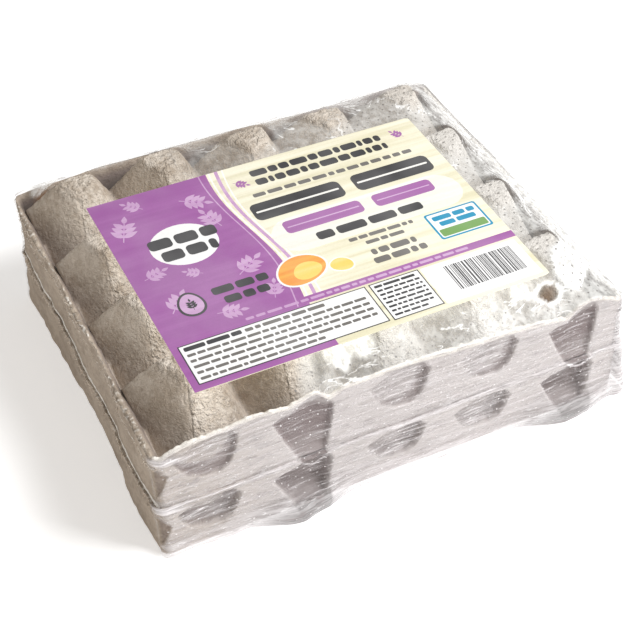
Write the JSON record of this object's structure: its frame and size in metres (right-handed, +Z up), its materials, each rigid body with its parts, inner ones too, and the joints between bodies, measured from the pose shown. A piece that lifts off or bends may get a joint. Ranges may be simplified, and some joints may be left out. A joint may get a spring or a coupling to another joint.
{
  "type": "egg carton with eggs",
  "caption": "Shut pack of eggs: two stacked moulded-pulp trays under a pulp cover with a bump over every cell, wrapped in clear film with a label on top.",
  "frame": {"origin": "middle of the underside of the lower tray", "axes": "+Z up; +X along the row of five cells; +Y from the front long side to the back one"},
  "size_m": [0.3006, 0.2426, 0.105],
  "materials": {
    "pulp": "rough grey-beige moulded pulp",
    "pulp_cover": "rough grey-beige moulded pulp with lumps and fibres",
    "film": "clear shrink film, wrinkled and perforated",
    "label": "printed paper, purple and cream fields"
  },
  "bodies": {
    "root": {"tray_lower": "pulp", "tray_upper": "pulp", "cover": "pulp_cover", "film": "film", "label": "label"}
  },
  "joints": []
}
